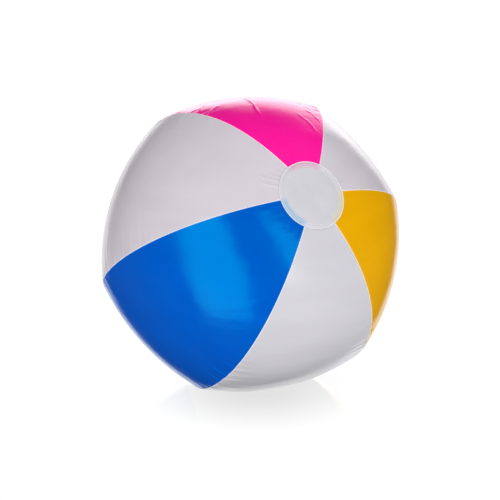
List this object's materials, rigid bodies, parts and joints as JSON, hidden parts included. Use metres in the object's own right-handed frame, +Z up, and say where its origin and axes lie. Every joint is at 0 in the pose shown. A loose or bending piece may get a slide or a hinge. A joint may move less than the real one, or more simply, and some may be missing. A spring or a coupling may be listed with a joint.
{
  "type": "inflatable beach ball",
  "caption": "Inflated beach ball of welded coloured film panels with round pole discs and a push-in inflation valve with a strapped plug and check flap, resting on the floor.",
  "frame": {"origin": "on the floor, at the middle of the flat patch the ball rests on", "axes": "+Z up, +Y along the inflation valve's axis pointing out of the ball, the front pole disc faces -Y and 36 degrees upward"},
  "size_m": [0.3339, 0.3164, 0.3184],
  "materials": {
    "magenta_film": "gloss",
    "white_film": "gloss",
    "yellow_film": "gloss",
    "blue_film": "gloss",
    "clear_film": "gloss",
    "soft_vinyl": "satin"
  },
  "bodies": {
    "ball": {"panel_magenta": "magenta_film", "panel_white_right": "white_film", "panel_yellow": "yellow_film", "panel_white_low": "white_film", "panel_blue": "blue_film", "panel_white_left": "white_film", "pole_disc_front": "clear_film", "pole_disc_rear": "clear_film", "valve_flange": "soft_vinyl", "valve_membrane": "soft_vinyl"},
    "stem": {"valve_stem": "soft_vinyl", "strap_stem_end": "soft_vinyl"},
    "plug": {"plug": "soft_vinyl", "strap_plug_end": "soft_vinyl"},
    "flap": {"check_flap": "soft_vinyl"}
  },
  "joints": [
    {"name": "stem_slide", "type": "slide", "parent": "ball", "child": "stem", "axis": [0, 1, 0], "range_m": [0, 0.015], "deforming": ["valve_membrane"]},
    {"name": "plug_hinge", "type": "hinge", "parent": "stem", "child": "plug", "pos_m": [0.00396, 0.16293, 0.17034], "axis": [0, 0, -1], "range_deg": [0, 150]},
    {"name": "flap_hinge", "type": "hinge", "parent": "stem", "child": "flap", "pos_m": [-0.01374, 0.13963, 0.17034], "axis": [0, 0, -1], "range_deg": [0, 60], "stiffness_Nm_per_rad": 0.0001}
  ]
}
